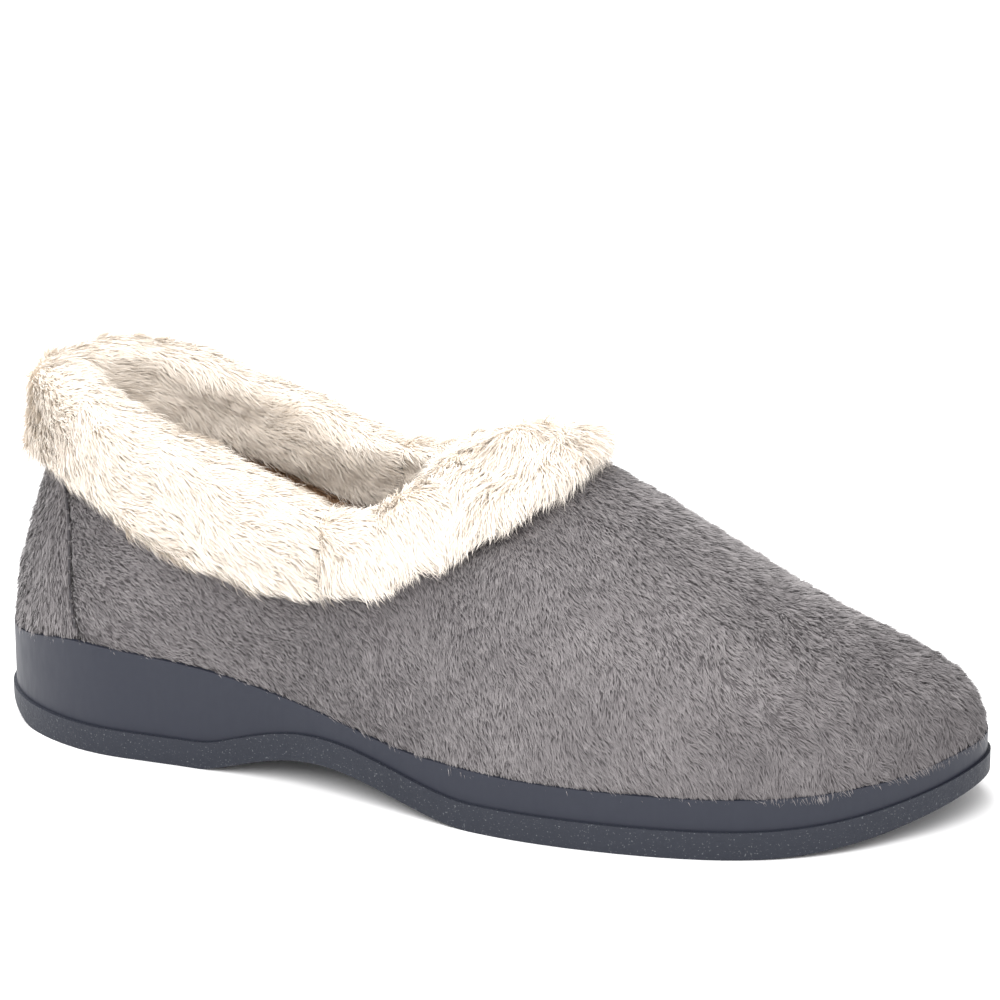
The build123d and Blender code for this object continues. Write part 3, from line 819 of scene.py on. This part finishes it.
@dataclass
class Lining(Cloth):
    """A tan lining, with its pile only as far in as the mouth shows it."""

    depth: float = 0.36  # share of the slipper's length, from its middle towards the toe

    def trim(self, scalp: Scalp) -> Scalp:
        """Leave out the roots deep inside the toe."""
        low, high = CAD_BOX
        limit = low.x + (0.5 + self.depth) * (high.x - low.x)
        return scalp.where(scalp.points[:, 0] < limit)


def near_points(points: np.ndarray, other: bpy.types.Object, reach: float) -> np.ndarray:
    """Whether each point lies within reach of another object's surface."""
    tree = tree_of(other)
    box = np.array([list(corner) for corner in other.bound_box])
    inside = np.all((points > box.min(axis=0) - reach) & (points < box.max(axis=0) + reach), axis=1)
    found = np.zeros(len(points), dtype=bool)
    for index in np.flatnonzero(inside):
        found[index] = tree.find_nearest(Vector(points[index]), reach)[0] is not None
    return found


GREY_PILE = Pile(
    length=2.5 * MM,
    width=0.27 * MM,
    density=6.5,
    lean=62.0,
    joints=2,
    lock=1.4 * MM,
    gather=0.5,
    ragged=0.2,
)
CREAM_PILE = Pile(
    length=5.6 * MM,
    width=0.27 * MM,
    density=7.0,
    lean=62.0,
    joints=3,
    lock=2.8 * MM,
    gather=0.55,
    ragged=0.24,
    tone_patch=0.1,
    tone_lock=0.1,
    tone_hair=0.1,
    flatten=12.0,
    crisp=0.3,
    roll=0.12,
)
TAN_PILE = Pile(
    length=2.0 * MM,
    width=0.34 * MM,
    density=3.0,
    lean=48.0,
    joints=2,
    lock=1.5 * MM,
    gather=0.4,
    ragged=0.25,
)
CUTS = {
    "vamp": Cut(0.22, 0.3, 0.0345, "midsole_wedge"),
    "heel_panel": Cut(0.065, 0.09, 0.0039, "midsole_wedge"),
    "quarter_lining": Cut(0.06, 0.2, 0.0077, "insole_board"),
    "vamp_lining": Cut(0.17, 0.2, 0.0166, "insole_board"),
    "sock_lining": Cut(0.08, 0.235, 0.0127, "footbed_foam", "laid"),
}


@dataclass
class Upper:
    """The grey upper: a vamp that wraps round the foot, and a heel panel seamed to it."""

    def build(self) -> None:
        """Lay both cloths, then grow their pile."""
        shared = dict(slot="grey_plush", finish=GREY_PLUSH, pile=GREY_PILE)
        inner = (
            "foam_interlining", "toe_puff", "heel_counter", "midsole_wedge", "rear_cuff",
            "front_cuff", "topline_tape", "quarter_lining", "vamp_lining",
        )
        vamp = GreyCloth("vamp", nap=Nap.VAMP, seed=11, covers=(*inner, "heel_panel"), **shared)
        heel = GreyCloth("heel_panel", nap=Nap.HEEL, seed=12, covers=(*inner, "vamp"), **shared)
        for cloth in (vamp, heel):
            CUTS[cloth.node].declare(cloth.lay())
            LOG.info("%s: %d hairs", cloth.node, cloth.grow())


@dataclass
class Cuff:
    """The cream cuff, in two lengths that meet at the side seams."""

    def build(self) -> None:
        """Lay both lengths, then grow their fur."""
        shared = dict(
            slot="cream_fur",
            finish=CREAM_FUR,
            pile=CREAM_PILE,
            nap=Nap.CUFF,
            grain=1.8 * MM,
            swell=0.8 * MM,
            rounding=14,
        )
        inner = (
            "vamp", "heel_panel", "topline_tape", "quarter_lining", "vamp_lining",
            "heel_counter", "foam_interlining",
        )
        rear = FurCloth("rear_cuff", seed=21, covers=(*inner, "front_cuff"), **shared)
        front = FurCloth("front_cuff", seed=22, covers=(*inner, "rear_cuff"), **shared)
        for cloth in (rear, front):
            cloth.lay()
            LOG.info("%s: %d hairs", cloth.node, cloth.grow())


@dataclass
class Inside:
    """The tan linings and the sock over a foam footbed."""

    def build(self) -> None:
        """Lay the linings with their short pile, and the foam under the sock."""
        shared = dict(slot="tan_plush", finish=TAN_PLUSH, pile=TAN_PILE, nap=Nap.INSIDE)
        outer = (
            "heel_counter", "foam_interlining", "toe_puff", "rear_cuff", "front_cuff",
            "footbed_foam", "insole_board", "vamp", "heel_panel", "topline_tape", "midsole_wedge",
        )
        seeds_and_grains = {
            "quarter_lining": (31, 1.6 * MM),
            "vamp_lining": (32, 1.6 * MM),
            "sock_lining": (33, 1.0 * MM),
        }
        pieces = []
        for node, (seed, grain) in seeds_and_grains.items():
            covers = (*outer, *(other for other in seeds_and_grains if other != node))
            pieces.append(Lining(node, seed=seed, grain=grain, covers=covers, **shared))
        for cloth in pieces:
            CUTS[cloth.node].declare(cloth.lay())
            LOG.info("%s: %d hairs", cloth.node, cloth.grow())
        foam = copy_of_node("footbed_foam", "footbed_cushion")
        apply_modifier(foam, "REMESH", mode="VOXEL", voxel_size=1.5 * MM, use_smooth_shade=True)
        finish_piece(foam, FOOTBED_FOAM.material(), "foam", "footbed_foam")


@dataclass
class Layers:
    """The pieces that keep the frame's own shape: the sole and the hidden layers."""

    def build(self) -> None:
        """Give each node its finish."""
        dress("midsole_wedge", SOLE_WALL.material())
        dress("outsole_tread", SOLE_TREAD.material())
        for node, finish in SHEETS.items():
            dress(node, finish.material())


def dress(node: str, material: bpy.types.Material) -> None:
    """Give a frame node one material all over."""
    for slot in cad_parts[node].material_slots:
        slot.material = material
    LOG.info("%s: dressed", node)


@dataclass
class Studio:
    """A pale floor, soft light and the camera."""

    azimuth: float = 19.2  # degrees from the slipper's outer side towards its toe
    elevation: float = 20.0
    distance: float = 1.1
    aim: tuple[float, float, float] = (0.0046, 0.0, 0.06815)  # the point in mid view
    lens: float = 162.8

    def build(self) -> None:
        """Set the floor, the lights and the camera."""
        scene = bpy.context.scene
        scene.view_settings.view_transform = "Standard"
        self._floor()
        self._sky()
        self._lamp("key", (-0.7, 0.45, 1.55), 1.3, 26.0)
        self._lamp("fill", (0.0, -1.15, 1.5), 1.6, 34.0)
        turn, lift = math.radians(self.azimuth), math.radians(self.elevation)
        level = math.cos(lift)
        way = Vector((math.sin(turn) * level, -math.cos(turn) * level, math.sin(lift)))
        bpy.ops.object.camera_add(location=Vector(self.aim) + way * self.distance)
        camera = bpy.context.object
        camera.rotation_euler = (-way).to_track_quat("-Z", "Y").to_euler()
        camera.data.lens = self.lens
        camera.data.sensor_width = 36.0
        scene.camera = camera

    def _floor(self) -> None:
        """Lay a wide pale floor."""
        bpy.ops.mesh.primitive_plane_add(size=12.0, location=(0, 0, 0))
        floor = bpy.context.object
        floor.name = "floor"
        shader = Shader("floor_paper", 0.9, 0.0, 0.0)
        shader.surface.inputs["Base Color"].default_value = rgba(0.9, 0.9, 0.905)
        floor.data.materials.append(shader.material)

    def _sky(self) -> None:
        """Light the room evenly."""
        world = bpy.data.worlds.new("room")
        world.use_nodes = True
        world.node_tree.nodes["Background"].inputs["Color"].default_value = rgba(1.0, 0.99, 0.98)
        world.node_tree.nodes["Background"].inputs["Strength"].default_value = 1.05
        bpy.context.scene.world = world

    def _lamp(self, name: str, place: tuple, size: float, power: float) -> None:
        """Hang a square lamp that faces the slipper."""
        bpy.ops.object.light_add(type="AREA", location=place)
        lamp = bpy.context.object
        lamp.name = name
        lamp.data.size = size
        lamp.data.energy = power
        lamp.rotation_euler = (-Vector(place)).to_track_quat("-Z", "Y").to_euler()


def main() -> None:
    """Build every part of the slipper and the room round it."""
    logging.basicConfig(level=logging.INFO, format="%(message)s")
    Layers().build()
    Upper().build()
    Cuff().build()
    Inside().build()
    Studio().build()


if __name__ == "__main__":
    main()
